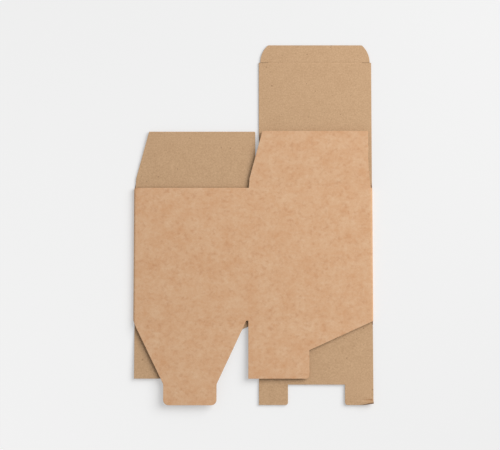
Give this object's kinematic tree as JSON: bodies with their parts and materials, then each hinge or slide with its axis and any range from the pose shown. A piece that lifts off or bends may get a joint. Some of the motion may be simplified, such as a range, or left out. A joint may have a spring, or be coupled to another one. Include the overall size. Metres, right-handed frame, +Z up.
{
  "type": "flattened cardboard box",
  "caption": "Unprinted brown carton folded flat: a glued four-panel tube with a tuck lid, dust flaps and interlocking bottom flaps, lying on its back.",
  "frame": {"origin": "middle of the folded sheet's outline, on the surface that it lies on", "axes": "+X from the left fold to the right fold, +Y along the tube from the bottom flaps to the lid, +Z up from the underside, through the layers"},
  "size_m": [0.2175, 0.3292, 0.008],
  "materials": {
    "kraft_board": "matte brown kraft liner outside, slightly greyer liner inside"
  },
  "bodies": {
    "root": {"folded_carton": "kraft_board"}
  },
  "joints": []
}
